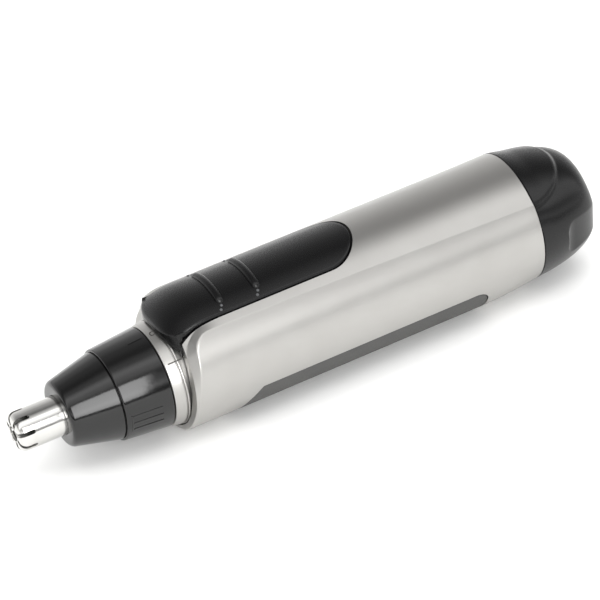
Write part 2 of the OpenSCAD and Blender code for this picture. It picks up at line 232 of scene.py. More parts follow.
def solid(name, points, faces, sharp=32):
    """A closed mesh from points and faces: doubles merged, faces outward, smooth but for sharp edges."""
    mesh = bpy.data.meshes.new(name)
    bm = bmesh.new()
    verts = [bm.verts.new(p) for p in points]
    for face in faces:
        corners = []
        for i in face:
            if verts[i] not in corners:
                corners.append(verts[i])
        if len(corners) > 2:
            bm.faces.new(corners)
    bmesh.ops.remove_doubles(bm, verts=bm.verts, dist=2e-6)
    bmesh.ops.dissolve_degenerate(bm, edges=bm.edges, dist=1e-7)
    bmesh.ops.recalc_face_normals(bm, faces=bm.faces)
    bm.to_mesh(mesh)
    bm.free()
    smooth_by_angle(mesh, sharp)
    return new_object(name, mesh)


def smooth_by_angle(mesh, degrees=32):
    mesh.shade_smooth()
    mesh.set_sharp_from_angle(angle=math.radians(degrees))


def stacked(name, rings, sharp=32):
    """A closed solid from a stack of closed rings, the first and last of which shrink to a point."""
    count = len(rings[0])
    points = [p for ring in rings for p in ring]
    faces = []
    for i in range(len(rings) - 1):
        for j in range(count):
            k = (j + 1) % count
            faces.append((i * count + j, i * count + k, (i + 1) * count + k, (i + 1) * count + j))
    return solid(name, points, faces, sharp)


def joined_tube(name, rings, sharp=32):
    """A closed solid from rings that go out along one wall and back along the other."""
    return stacked(name, rings + [rings[0]], sharp)


def fillet(corners, steps=4):
    """An outline of (station, radius, rounding) corners, with each corner turned into an arc."""
    outline = []
    for i, (s, r, rounding) in enumerate(corners):
        if rounding == 0 or i in (0, len(corners) - 1):
            outline.append((s, r))
            continue
        here = Vector((s, r))
        before = (Vector(corners[i - 1][:2]) - here).normalized()
        after = (Vector(corners[i + 1][:2]) - here).normalized()
        half = before.angle(after) / 2
        reach = rounding / math.tan(half)
        centre = here + (before + after).normalized() * (rounding / math.sin(half))
        start = here + before * reach - centre
        end = here + after * reach - centre
        sweep = start.angle_signed(end)
        for step in range(steps + 1):
            spoke = start.copy()
            spoke.rotate(Matrix.Rotation(-sweep * step / steps, 2))
            outline.append(tuple(centre + spoke))
    return outline


def turned(name, outline, z, closed=False, count=144, sharp=32):
    """A lathe-turned solid from an outline of (station, radius). An open outline ends on the axis."""
    def circle(s, r):
        return [at(s, r * math.sin(a), z + r * math.cos(a)) for a in
                (2 * math.pi * j / count for j in range(count))]
    rings = [circle(s, r) for s, r in outline]
    return joined_tube(name, rings, sharp) if closed else stacked(name, rings, sharp)


def patch(name, half, front, rear, surface, rim, columns=48, rows=64, row_power=1.0):
    """A solid patch of skin between a front and a rear curve.

    rim lists (growth, inset) from the top to the bottom."""
    def grid(growth, inset):
        lines = []
        for j in range(columns + 1):
            across = (half + growth) * math.sin(math.pi * (j / columns - 0.5))
            start = front(across, growth)
            end = rear(across, growth)
            lines.append([surface(start + (end - start) * (k / rows) ** row_power, across, inset)
                          for k in range(rows + 1)])
        return lines

    def edge_loop():
        loop = [(0, k) for k in range(rows)] + [(j, rows) for j in range(columns)]
        return loop + [(columns, k) for k in range(rows, 0, -1)] + [(j, 0) for j in range(columns, 0, -1)]

    points = []
    faces = []
    loops = []
    for level, (growth, inset) in enumerate(rim):
        lines = grid(growth, inset)
        if level in (0, len(rim) - 1):
            base = len(points)
            points += [p for line in lines for p in line]
            wide = rows + 1
            for j in range(columns):
                for k in range(rows):
                    faces.append((base + j * wide + k, base + j * wide + k + 1,
                                  base + (j + 1) * wide + k + 1, base + (j + 1) * wide + k))
            loops.append([base + j * wide + k for j, k in edge_loop()])
        else:
            base = len(points)
            loop = edge_loop()
            points += [lines[j][k] for j, k in loop]
            loops.append(list(range(base, base + len(loop))))
    for upper, lower in zip(loops, loops[1:]):
        for i in range(len(upper)):
            n = (i + 1) % len(upper)
            faces.append((upper[i], upper[n], lower[n], lower[i]))
    return solid(name, points, faces)


def rolled(radius, depth, steps=4, proud=0.0):
    """Rim levels for patch: a rounded edge, then a straight wall."""
    levels = []
    for step in range(steps + 1):
        a = math.pi / 2 * step / steps
        levels.append((-radius + radius * math.sin(a), -proud + radius - radius * math.cos(a)))
    return levels + [(0.0, depth)]


def cut(obj, *cutters, sharp=32):
    """Takes the cutters out of obj, and bakes the result."""
    for cutter in cutters:
        mod = obj.modifiers.new("cut", "BOOLEAN")
        mod.operation = "DIFFERENCE"
        mod.solver = "EXACT"
        mod.object = cutter
    bake(obj, sharp)
    for cutter in cutters:
        bpy.data.objects.remove(cutter)


def bake(obj, sharp=32):
    """Replaces obj's mesh by its evaluated one and drops the modifiers."""
    graph = bpy.context.evaluated_depsgraph_get()
    mesh = bpy.data.meshes.new_from_object(obj.evaluated_get(graph))
    obj.modifiers.clear()
    obj.data = mesh
    mesh.name = obj.name
    if sharp is not None:
        smooth_by_angle(mesh, sharp)


def finish(obj, body, slot, material, *nodes):
    """Gives a piece its material and its body, and hides the CAD nodes that it stands for. The slot
    argument is not used.
    """
    obj.data.materials.clear()
    obj.data.materials.append(material)
    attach(obj, body)
    if nodes:
        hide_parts(*nodes)


# ---------------------------------------------------------------- geometry node trees

def node(tree, kind, links=(), **settings):
    """Adds a node: links maps an input to the output socket or the value that feeds it."""
    new = tree.nodes.new(kind)
    for key, value in settings.items():
        setattr(new, key, value)
    for socket, source in dict(links).items():
        if isinstance(source, bpy.types.NodeSocket):
            tree.links.new(source, new.inputs[socket])
        else:
            new.inputs[socket].default_value = source
    return new


def geometry_tree(name, inputs):
    """An empty geometry tree with named inputs: (name, socket type)."""
    tree = bpy.data.node_groups.new(name, "GeometryNodeTree")
    tree.interface.new_socket("Geometry", in_out="INPUT", socket_type="NodeSocketGeometry")
    for label, kind in inputs:
        tree.interface.new_socket(label, in_out="INPUT", socket_type=kind)
    tree.interface.new_socket("Geometry", in_out="OUTPUT", socket_type="NodeSocketGeometry")
    return tree, tree.nodes.new("NodeGroupInput"), tree.nodes.new("NodeGroupOutput")


def run_tree(obj, tree, values, sharp=None):
    """Runs a tree on obj with the values of its named inputs, and bakes the result."""
    mod = obj.modifiers.new(tree.name, "NODES")
    mod.node_group = tree
    for item in tree.interface.items_tree:
        if item.in_out == "INPUT" and item.name in values:
            mod[item.identifier] = values[item.name]
    bake(obj, sharp)
    return obj


def row_tree():
    """Repeats the input along a step, each copy turned further round X."""
    tree, given, out = geometry_tree("even row", [
        ("Count", "NodeSocketInt"), ("Step", "NodeSocketVector"), ("Centre", "NodeSocketVector"),
        ("First turn", "NodeSocketFloat"), ("Turn", "NodeSocketFloat"), ("Material", "NodeSocketMaterial")])
    line = node(tree, "GeometryNodeMeshLine", {
        "Count": given.outputs["Count"], "Start Location": given.outputs["Centre"],
        "Offset": given.outputs["Step"]}, mode="OFFSET")
    index = node(tree, "GeometryNodeInputIndex")
    turn = node(tree, "ShaderNodeMath", {
        0: index.outputs["Index"], 1: given.outputs["Turn"], 2: given.outputs["First turn"]},
        operation="MULTIPLY_ADD")
    angles = node(tree, "ShaderNodeCombineXYZ", {"X": turn.outputs[0]})
    copies = node(tree, "GeometryNodeInstanceOnPoints", {
        "Points": line.outputs["Mesh"], "Instance": given.outputs["Geometry"],
        "Rotation": angles.outputs[0]})
    real = node(tree, "GeometryNodeRealizeInstances", {"Geometry": copies.outputs[0]})
    painted = node(tree, "GeometryNodeSetMaterial", {
        "Geometry": real.outputs[0], "Material": given.outputs["Material"]})
    tree.links.new(painted.outputs[0], out.inputs[0])
    return tree


def coil_tree():
    """A round wire wound into a coil along X."""
    tree, given, out = geometry_tree("wire coil", [
        ("Turns", "NodeSocketFloat"), ("Start radius", "NodeSocketFloat"),
        ("End radius", "NodeSocketFloat"), ("Length", "NodeSocketFloat"),
        ("Wire radius", "NodeSocketFloat"), ("Start", "NodeSocketVector"),
        ("Material", "NodeSocketMaterial")])
    spiral = node(tree, "GeometryNodeCurveSpiral", {
        "Resolution": 40, "Rotations": given.outputs["Turns"],
        "Start Radius": given.outputs["Start radius"], "End Radius": given.outputs["End radius"],
        "Height": given.outputs["Length"]})
    laid = node(tree, "GeometryNodeTransform", {
        "Geometry": spiral.outputs[0], "Translation": given.outputs["Start"],
        "Rotation": (0, math.pi / 2, 0)})
    round_wire = node(tree, "GeometryNodeCurvePrimitiveCircle", {
        "Resolution": 14, "Radius": given.outputs["Wire radius"]})
    wire = node(tree, "GeometryNodeCurveToMesh", {
        "Curve": laid.outputs[0], "Profile Curve": round_wire.outputs[0], "Fill Caps": True})
    real = node(tree, "GeometryNodeRealizeInstances", {"Geometry": wire.outputs[0]})
    painted = node(tree, "GeometryNodeSetMaterial", {
        "Geometry": real.outputs[0], "Material": given.outputs["Material"]})
    tree.links.new(painted.outputs[0], out.inputs[0])
    return tree


# ---------------------------------------------------------------- materials

def colour(hex_code):
    """sRGB hex to linear."""
    channels = [int(hex_code[i:i + 2], 16) / 255 for i in (1, 3, 5)]
    linear = [c / 12.92 if c <= 0.04045 else ((c + 0.055) / 1.055) ** 2.4 for c in channels]
    return (*linear, 1.0)


def grained(name, dark, light, grain_mm, rough, rough_spread=0.05, bump=0.1, metallic=0.0,
            stretch=(1, 1, 1), coat=0.0, coat_rough=0.03, ior=None):
    """A surface with a slow drift of colour, and a fine grain in its gloss and relief.

    grain_mm is the size of the grain, and stretch draws it out along an axis."""
    drift_mm = 6.0
    material = bpy.data.materials.new(name)
    material.use_nodes = True
    tree = material.node_tree
    tree.nodes.clear()
    place = node(tree, "ShaderNodeTexCoord")
    scaled = node(tree, "ShaderNodeMapping", {"Vector": place.outputs["Object"], "Scale": stretch})
    drift = node(tree, "ShaderNodeTexNoise", {
        "Vector": scaled.outputs[0], "Scale": 1000 / drift_mm, "Detail": 3.0})
    grain = node(tree, "ShaderNodeTexNoise", {
        "Vector": scaled.outputs[0], "Scale": 1000 / grain_mm, "Detail": 2.0})
    tone = node(tree, "ShaderNodeMix", {0: drift.outputs["Fac"], 6: colour(dark), 7: colour(light)},
                data_type="RGBA")
    gloss = node(tree, "ShaderNodeMapRange", {
        "Value": grain.outputs["Fac"], "From Min": 0.3, "From Max": 0.7,
        "To Min": rough - rough_spread, "To Max": rough + rough_spread})
    relief = node(tree, "ShaderNodeBump", {
        "Height": grain.outputs["Fac"], "Strength": bump, "Distance": grain_mm * MM * 0.5})
    shader = node(tree, "ShaderNodeBsdfPrincipled", {
        "Base Color": tone.outputs[2], "Roughness": gloss.outputs[0], "Normal": relief.outputs[0],
        "Metallic": metallic, "Coat Weight": coat, "Coat Roughness": coat_rough})
    if ior:
        shader.inputs["IOR"].default_value = ior
    node(tree, "ShaderNodeOutputMaterial", {"Surface": shader.outputs[0]})
    return material


# Satin metallic paint on moulded ABS: fine aluminium flake under lacquer, a soft broad shine.
satin_silver_paint = grained(
    "satin silver metallic paint", "#acaaa7", "#b4b3b0", 0.18, 0.35, 0.04, 0.05, 0.94, coat=0.12,
    coat_rough=0.25)
# Gloss moulded ABS: nearly black, with a sharp shine and the faint waviness of a moulding.
gloss_abs = grained("gloss black ABS", "#080808", "#0c0c0c", 1.6, 0.12, 0.015, 0.015, ior=1.54)
# Fine-textured moulded ABS: the mould's spark texture spreads the shine.
satin_abs = grained("satin black ABS", "#050506", "#080808", 0.12, 0.27, 0.02, 0.03, ior=1.42)
# Matte thermoplastic elastomer: dull grey-black with a skin of fine grain.
grip_elastomer = grained("dark grey elastomer", "#3f3f3e", "#484846", 0.2, 0.62, 0.06, 0.35, ior=1.5)
# Polished stainless steel: turned and buffed, so faint lines run round it.
polished_steel = grained(
    "polished stainless steel", "#cfcecb", "#dddcd9", 0.25, 0.13, 0.04, 0.06, 1.0, stretch=(4, 1, 1))
# Ground stainless strip: a duller steel with lines from grinding.
ground_steel = grained(
    "ground stainless steel", "#a9a9a8", "#bcbcba", 0.2, 0.27, 0.06, 0.15, 1.0, stretch=(0.2, 2, 2))
# Bright drawn spring wire.
spring_wire = grained("bright spring wire", "#b4b2ae", "#c6c4c0", 0.15, 0.24, 0.05, 0.1, 1.0)
# Zinc-plated pressed steel: a cloudy, slightly blue shine.
zinc_plate = grained("zinc plated steel", "#9fa3a6", "#b6b9bb", 0.6, 0.33, 0.08, 0.1, 1.0)
# Nitrile rubber rings: black with a dull skin.
nitrile = grained("nitrile rubber", "#141414", "#1c1c1b", 0.15, 0.5, 0.06, 0.2)
# Natural acetal: slightly see-through white that looks waxy.
acetal = grained("natural acetal", "#d6d2c6", "#e2dfd5", 0.3, 0.4, 0.05, 0.08)
# Dark grey ABS inside parts: as moulded, unpainted.
frame_abs = grained("dark grey ABS", "#2c2d2f", "#353638", 0.2, 0.48, 0.06, 0.15)
# Stacked electrical sheet: thin iron sheets with dark joints.
sheet_iron = grained(
    "stacked iron sheet", "#4c4c4e", "#6a6a6b", 0.35, 0.45, 0.1, 0.3, 1.0, stretch=(1, 0.1, 0.1))
# Sintered ferrite: dull charcoal, slightly rough.
ferrite = grained("sintered ferrite", "#2d2d30", "#3b3b3e", 0.2, 0.6, 0.08, 0.3)
# Sintered bronze: oily brown-yellow, full of pores.
bronze = grained("sintered bronze", "#8a6534", "#a57c45", 0.12, 0.4, 0.1, 0.4, 1.0)
# Copper, bare or under clear enamel.
copper = grained("enamelled copper", "#a8552f", "#c46f41", 0.2, 0.3, 0.06, 0.12, 1.0)
# Nickel-plated brass strip: pale warm metal.
nickel_strip = grained("nickel plated brass", "#b3aa90", "#c4bca4", 0.4, 0.26, 0.06, 0.08, 1.0)
# Nickel-plated steel cell: a soft-edged mirror.
cell_plate = grained("nickel plated cell", "#c0bdb4", "#cecbc3", 0.5, 0.22, 0.05, 0.06, 1.0)
# Shrink sleeve of printed film: glossy, one plain colour.
cell_sleeve = grained("printed shrink sleeve", "#2e6044", "#346b4c", 2.0, 0.2, 0.03, 0.04, coat=0.4)
# Small moulded pips, coloured light grey as a painted highlight: the glints on their tips are painted into
# their colour.
painted_glint_pips = grained("grey pips with painted glints", "#434446", "#525355", 0.3, 0.3, 0.05, 0.05, ior=1.5)
# Printed ink marks: flat dark grey.
ink = grained("printed grey ink", "#3a3835", "#45433f", 0.2, 0.5, 0.05, 0.1)

NODE_MATERIALS = {
    "cutter_bush": acetal, "inner_blade": ground_steel, "blade_shaft": acetal,
    "neck_oring": nitrile, "cap_oring": nitrile, "shaft_seal": nitrile,
    "switch_bezel": satin_abs, "inner_frame": frame_abs, "motor_can": zinc_plate,
    "motor_endcap": acetal, "motor_magnets": ferrite, "motor_bushings": bronze,
    "motor_brushes": copper, "motor_terminals": nickel_strip, "motor_screws": zinc_plate,
    "motor_shaft": ground_steel, "rotor_core": sheet_iron, "rotor_windings": copper,
    "commutator": copper, "drive_coupling": acetal, "switch_carrier": frame_abs,
    "moving_contact": copper, "fixed_contacts": nickel_strip, "positive_contact": nickel_strip,
    "negative_strip": nickel_strip, "battery_cell": cell_plate, "battery_sleeve": cell_sleeve,
    "cap_contact": nickel_strip,
}


# ---------------------------------------------------------------- body and grip

def body_case():
    """Painted shell with its ridge lines, cut open for the slider and the grip."""
    beside_ridge = [0.07, 0.18, 0.36, 0.6, 0.9, 1.3, 1.8, 2.4]
    near = [-mm for mm in reversed(beside_ridge)] + [0.0] + beside_ridge

    def angles(station):
        ridge = ridge_angle(station)
        around = [ridge + mm / BODY_HALF_W for mm in near]
        first = [around[0] * i / 20 for i in range(20)]
        last = [around[-1] + (math.pi - around[-1]) * i / 72 for i in range(1, 73)]
        half = first + around + last
        return half + [2 * math.pi - a for a in reversed(half[1:-1])]

    front_zone = 42.0
    front_rows = 64
    outer = []
    for k in range(front_rows):
        t = k / front_rows
        outer.append([
            body_point(edge + (front_zone - edge) * t ** 1.15, a)
            for a in angles(38.0) for edge in [front_edge(a)]])
    for k in range(47):
        station = front_zone + (BODY_REAR - 0.3 - front_zone) * k / 46
        outer.append([body_point(station, a) for a in angles(station)])
    for step in (0.3, 0.6, 1.0):
        turn = math.pi / 2 * step
        outer.append([body_point(BODY_REAR - 0.15 + 0.15 * math.sin(turn), a, 0.15 - 0.15 * math.cos(turn))
                      for a in angles(BODY_REAR)])
    inner = [[body_point(BODY_REAR, a, WALL) for a in angles(BODY_REAR)]]
    for station in (100.0, 80.0, 60.0, 42.0, 37.0):
        inner.append([body_point(station, a, WALL) for a in angles(station)])

    neck_r = 11.0
    neck_drop = 2

    def neck_clear(a):
        return -neck_drop * math.cos(a) + math.sqrt(neck_r ** 2 - (neck_drop * math.sin(a)) ** 2)

    for back in (1.6, 0.0):
        ring = []
        for a in angles(38.0):
            station = front_edge(a) + back
            skin = skin_radius(station, a)
            r = min(skin - 0.3, max(skin - WALL, neck_clear(a)))
            ring.append(at(station, r * math.sin(a), BODY_Z + r * math.cos(a)))
        inner.append(ring)
    case = joined_tube("body_case", outer + inner)
    opening = patch(
        "opening", SLIDER_HALF_W + SLIDER_GAP, lambda y, g: 26.0,
        lambda y, g: slider_rear(y, g + SLIDER_GAP), top_point, [(0.0, -3.0), (0.0, 4.5)], rows=40)
    recess = patch(
        "recess", GRIP_HALF + GRIP_GAP, lambda w, g: grip_front(w, g + GRIP_GAP),
        lambda w, g: grip_rear(w, g + GRIP_GAP), grip_point, [(0.0, -1.5), (0.0, 1.2)])
    cut(case, opening, recess)
    finish(case, "housing", "satin_silver", satin_silver_paint, "body_shell")


def grip_front(across, growth):
    return GRIP_FRONT + GRIP_BOW * (abs(across) / GRIP_HALF) ** 2.5 - growth


def grip_rear(across, growth):
    corner = max(abs(across) - (GRIP_HALF + growth - GRIP_CORNER), 0.0)
    return GRIP_REAR + growth - GRIP_CORNER + math.sqrt(max(GRIP_CORNER ** 2 - corner ** 2, 0.0))


def grip_point(station, across, inset):
    return body_point(station, math.pi - across / BODY_HALF_W, inset)


def grip_pad():
    """Rubber pad under the body, with a softly rolled edge."""
    pad = patch("grip_pad", GRIP_HALF, grip_front, grip_rear, grip_point, rolled(0.3, 1.15, proud=0.0))
    finish(pad, "housing", "grip_rubber", grip_elastomer, "grip_panel")


# ---------------------------------------------------------------- switch slider

NOSE_BOW = 2.2
NECK_CLEAR = 11.2
NOSE_CROWN = 0.45
CROWN_END = 43.5


def slider_front(y, growth):
    return SHOULDER_FRONT + NOSE_BOW * (abs(y) / SLIDER_HALF_W) ** 3 - growth


def slider_rear(y, growth):
    radius = SLIDER_HALF_W + growth
    return SLIDER_REAR - SLIDER_HALF_W + math.sqrt(max(radius ** 2 - y ** 2, 0.0))


def slider_point(station, y, inset):
    """The slider's skin, whose nose hangs down over the neck ring."""
    point = top_point(station, y, inset)
    point.z += NOSE_CROWN * MM * smooth((CROWN_END - station) / 7)
    over_neck = (BLADE_Z + math.sqrt(NECK_CLEAR ** 2 - y ** 2)) * MM
    if inset > 1.0 and station < BODY_FRONT + 1.0:
        point.z = over_neck
    point.z = max(point.z, over_neck)
    return point


def thumb_slider():
    slider = patch(
        "thumb_slider", SLIDER_HALF_W, slider_front, slider_rear, slider_point,
        rolled(0.32, 1.25, proud=0.06), columns=56, rows=110, row_power=1.25)
    finish(slider, "switch", "satin_black", satin_abs, "switch_slider")


def thumb_ribs():
    """Two rounded ribs across the slider, with a pair of small studs at each end."""
    reach = 5.7
    width = 0.85
    height = 0.7
    station = RIB_STATION
    spine = 44
    around = 10
    rings = []
    for i in range(spine + 1):
        t = 2 * i / spine - 1
        y = reach * math.sin(t * math.pi / 2)
        swell = math.sqrt(max(1 - max(abs(y) - (reach - width), 0) ** 2 / width ** 2, 0.0))
        ring = []
        for j in range(around):
            a = 2 * math.pi * j / around
            s = station + width * swell * math.sin(a)
            ring.append(top_point(s, y, -0.06 - height * swell * math.cos(a)))
        rings.append(ring)
    rib = stacked("thumb_ribs", rings, 60)
    run_tree(rib, EVEN_ROW, {
        "Count": 2, "Step": (RIB_STEP * MM, 0, 0), "Material": satin_abs}, sharp=60)
    finish(rib, "switch", "satin_black", satin_abs)
    studs = bmesh.new()
    for y, ahead in ((-6.8, 0.75), (-6.05, 0.25), (6.05, 0.25), (6.8, 0.75)):
        ball = bmesh.ops.create_uvsphere(studs, u_segments=20, v_segments=12, radius=0.33 * MM)
        bmesh.ops.translate(studs, verts=ball["verts"], vec=top_point(station - ahead, y, 0.08))
    mesh = bpy.data.meshes.new("thumb_studs")
    studs.to_mesh(mesh)
    studs.free()
    stud = new_object("thumb_studs", mesh)
    # The studs take the light grey pip material, a painted highlight for the glints on their tips.
    run_tree(stud, EVEN_ROW, {
        "Count": 2, "Step": (RIB_STEP * MM, 0, 0), "Material": painted_glint_pips}, sharp=60)
    finish(stud, "switch", "gloss_black", painted_glint_pips)


# ---------------------------------------------------------------- rear cap

def cap_radius(station, angle):
    """Outside of the cap: the body's oval drawn in to a rounded end, with a lobe and two finger flats."""
    t = (station - CAP_FRONT) / (LENGTH - CAP_FRONT)
    left = (1 - min(max(t, 0), 1) ** 2.5) ** (1 / 2.0)
    start = oval_radius(BODY_REAR, angle)
    base = CAP_END_R + (start - CAP_END_R) * (0.18 * (1 - t) + 0.82 * left)
    folded = abs((angle + math.pi) % (2 * math.pi) - math.pi)
    lobe = math.hypot(math.degrees(folded) / 49, (station - CAP_FRONT) / LOBE_LENGTH)
    on_lobe = smooth((1.05 - lobe) / 0.1)
    base -= on_lobe * ridge_fall(BODY_REAR, angle, front=False) * (1 - t)
    base -= 0.35 * smooth((station - CAP_FRONT) / 4) * smooth((math.radians(80) - folded) / 0.6)
    scoop = smooth((lobe - 0.96) / 0.14) * math.exp(-max(lobe - 1.1, 0) / 0.35)
    base -= 0.6 * scoop * smooth((math.radians(66) - folded) / 0.4)
    off_flat = folded - math.radians(CAP_FLAT_ANGLE)
    if abs(off_flat) < 1.0 and station > CAP_FLAT_FROM:
        depth = 0.055 * rounded((station - CAP_FLAT_FROM) / 2.2, 2)
        base = min(base, base * (1 - depth) / math.cos(off_flat))
    return base


def rear_cap():
    columns = 360
    steps = [2 * math.pi * j / columns for j in range(columns)]

    def ring(station, radius):
        r = radius if callable(radius) else (lambda a: radius)
        return [at(station, r(a) * math.sin(a), BODY_Z + r(a) * math.cos(a)) for a in steps]

    rings = [ring(LENGTH, 0.0), ring(LENGTH, 3.5)]
    rows = 100
    for k in range(rows + 1):
        t = 1 - (k / rows) ** 1.6
        station = CAP_FRONT + 0.1 + (LENGTH - CAP_FRONT - 0.1) * t
        rings.append(ring(station, lambda a, s=station: cap_radius(s, a)))
    rings.append(ring(CAP_FRONT, lambda a: cap_radius(CAP_FRONT, a) - 0.12))
    for station, radius in fillet([
            (CAP_FRONT, 12.0, 0), (CAP_FRONT, 10.7, 0.1), (108.4, 10.7, 0.05), (108.4, 9.9, 0.05),
            (107.4, 9.9, 0.05), (107.4, 10.7, 0.05), (105.8, 10.7, 0.25), (105.8, 9.45, 0.25),
            (118.4, 9.45, 0.2), (118.4, 0.0, 0)], 3):
        rings.append(ring(station, radius))
    cap = stacked("cap_shell", rings)
    finish(cap, "cap", "satin_black", satin_abs, "rear_cap")


# ---------------------------------------------------------------- head

def head_parts():
    cone = turned("cone_shell", fillet([
        (11.4, 4.02, 0), (9.6, 4.02, 0.15), (9.6, 6.6, 1.1), (19.4, 8.95, 0.12), (19.4, 8.7, 0.05),
        (19.55, 8.7, 0), (19.55, 7.7, 0), (17.5, 7.7, 0.5), (14.6, 5.5, 0.3), (11.4, 5.5, 0.2),
        (11.4, 4.02, 0)], 6)[:-1], BLADE_Z, closed=True)
    finish(cone, "head", "gloss_black", gloss_abs, "head_cone")
    collar = turned("collar_shell", fillet([
        (19.6, 8.0, 0), (19.6, 9.35, 0.35), (29.4, 10.2, 0.18), (29.4, 8.1, 0.1), (34.6, 8.1, 0.3),
        (34.6, 7.0, 0.3), (28.4, 7.0, 0.3), (28.4, 8.0, 0.3), (19.6, 8.0, 0)], 6)[:-1],
        BLADE_Z, closed=True)
    finish(collar, "head", "gloss_black", gloss_abs, "head_collar")


def bar(name, start, end, width, height, sink, profile):
    """A fine raised line along X at the top of the head, that follows a radius of station."""
    outline = [(-width / 2, -sink), (-width / 2, height * 0.6), (0, height), (width / 2, height * 0.6),
               (width / 2, -sink)]
    rings = []
    for i in range(13):
        s = start + (end - start) * i / 12
        rings.append([Vector(((s - start) * MM, y * MM, (profile(s) + z) * MM)) for y, z in outline])
    centre = [sum(rings[0], Vector()) / len(outline), sum(rings[-1], Vector()) / len(outline)]
    return stacked(name, [[centre[0]] * 5] + rings + [[centre[1]] * 5], 40)


def collar_r(station):
    return 9.35 + (station - 19.6) * (10.2 - 9.35) / 9.8


def ring_r(station):
    return 10.2 + (station - 29.6) * 0.48 / 2.15


def arc_band(name, station, width, radius, height, start, end):
    """A fine raised line that runs part of the way round the head."""
    outline = [(-width / 2, -0.2), (-width / 2, height * 0.6), (0, height), (width / 2, height * 0.6),
               (width / 2, -0.2)]
    rings = []
    for i in range(25):
        a = math.radians(start + (end - start) * i / 24)
        rings.append([at(station + s, -(radius + r) * math.sin(a), BLADE_Z + (radius + r) * math.cos(a))
                      for s, r in outline])
    ends = [sum(rings[0], Vector()) / 5, sum(rings[-1], Vector()) / 5]
    return stacked(name, [[ends[0]] * 5] + rings + [[ends[1]] * 5], 40)


def head_marks():
    """Grip lines on both sides of the collar, its pointer, and the index marks on the neck ring."""
    for side, name in ((-1, "near"), (1, "far")):
        lines = bar("grip_lines_" + name, 20.9, 27.0, 0.42, 0.13, 0.3, collar_r)
        turn = math.radians(10)
        run_tree(lines, EVEN_ROW, {
            "Count": 3, "Centre": at(20.9, 0, BLADE_Z), "First turn": -side * math.radians(90),
            "Turn": -side * turn, "Material": gloss_abs}, sharp=40)
        finish(lines, "head", "gloss_black", gloss_abs)
        frame_line = arc_band(
            "grip_frame_" + name, 20.7, 0.3, collar_r(20.7), 0.12, -side * 88, -side * 112)
        finish(frame_line, "head", "gloss_black", gloss_abs)
    pointer = bar("collar_pointer", 25.6, 28.6, 0.3, 0.1, 0.3, collar_r)
    run_tree(pointer, EVEN_ROW, {
        "Count": 1, "Centre": at(25.6, 0, BLADE_Z), "First turn": math.radians(4),
        "Material": gloss_abs}, sharp=40)
    finish(pointer, "head", "gloss_black", gloss_abs)
    lock_line = bar("lock_line", 30.3, 33.4, 0.26, 0.05, 0.3, ring_r)
    run_tree(lock_line, EVEN_ROW, {
        "Count": 1, "Centre": at(30.3, 0, BLADE_Z), "First turn": math.radians(47), "Material": ink},
        sharp=40)
    finish(lock_line, "housing", "satin_silver", ink)
    bm = bmesh.new()
    angle = math.radians(6)
    place = at(30.75, -ring_r(30.75) * math.sin(angle), BLADE_Z + ring_r(30.75) * math.cos(angle))
    mesh = bpy.data.meshes.new("index_circle")
    rings = []
    for i in range(36):
        a = 2 * math.pi * i / 36
        rings.append([bm.verts.new(place + Vector((
            (0.5 + 0.1 * math.cos(b)) * math.cos(a) * MM, (0.5 + 0.1 * math.cos(b)) * math.sin(a) * MM,
            (-0.5 * math.sin(a) * math.tan(-angle) + 0.1 * math.sin(b)) * MM)))
            for b in (2 * math.pi * j / 8 for j in range(8))])
    for i in range(36):
        for j in range(8):
            k, m = (i + 1) % 36, (j + 1) % 8
            bm.faces.new((rings[i][j], rings[k][j], rings[k][m], rings[i][m]))
    bmesh.ops.recalc_face_normals(bm, faces=bm.faces)
    bm.to_mesh(mesh)
    bm.free()
    smooth_by_angle(mesh, 60)
    finish(new_object("index_circle", mesh), "housing", "satin_silver", ink)


def neck_band():
    """Painted ring with a fine groove, a lip, and a flange that closes the gap behind it."""
    band = turned("neck_band", fillet([
        (29.6, 8.3, 0), (29.6, 10.2, 0.15), (31.75, 10.68, 0.08), (31.75, 10.35, 0.05),
        (32.0, 10.35, 0.05), (32.0, 10.74, 0.08), (32.45, 10.8, 0.15), (32.45, 10.3, 0.1),
        (34.0, 10.3, 0.1), (34.0, 11.6, 0), (34.4, 11.6, 0), (34.4, 9.6, 0), (35.4, 9.6, 0),
        (35.4, 8.3, 0), (29.6, 8.3, 0)], 5)[:-1], BLADE_Z, closed=True)
    finish(band, "housing", "satin_silver", satin_silver_paint, "neck_ring")


def blade_tube():
    """Steel tube with a domed end, slotted all round."""
    dome = 1.4
    wall = 0.4
    tube_r = 4.0
    outline = [(0.0, 1.6), (0.0, 2.2)]
    outline += [(dome - dome * math.cos(a), tube_r - dome + dome * math.sin(a)) for a in
                (math.radians(d) for d in range(0, 91, 9))]
    outline += [(11.45, tube_r), (11.45, 5.4), (12.1, 5.4), (12.1, tube_r - wall)]
    outline += [(dome - (dome - wall) * math.cos(a), tube_r - dome + (dome - wall) * math.sin(a)) for a in
                (math.radians(d) for d in range(90, -1, -15))]
    outline += [(wall, 1.6)]
    tube = turned("blade_tube", outline, BLADE_Z, closed=True, count=192, sharp=40)
    slot = slot_cutter(0.82, 3.2)
    run_tree(slot, EVEN_ROW, {
        "Count": 8, "Turn": math.pi / 4, "First turn": math.pi / 8, "Centre": at(0, 0, BLADE_Z),
        "Material": polished_steel})
    cut(tube, slot, sharp=40)
    finish(tube, "head", "polished_steel", polished_steel, "outer_blade")


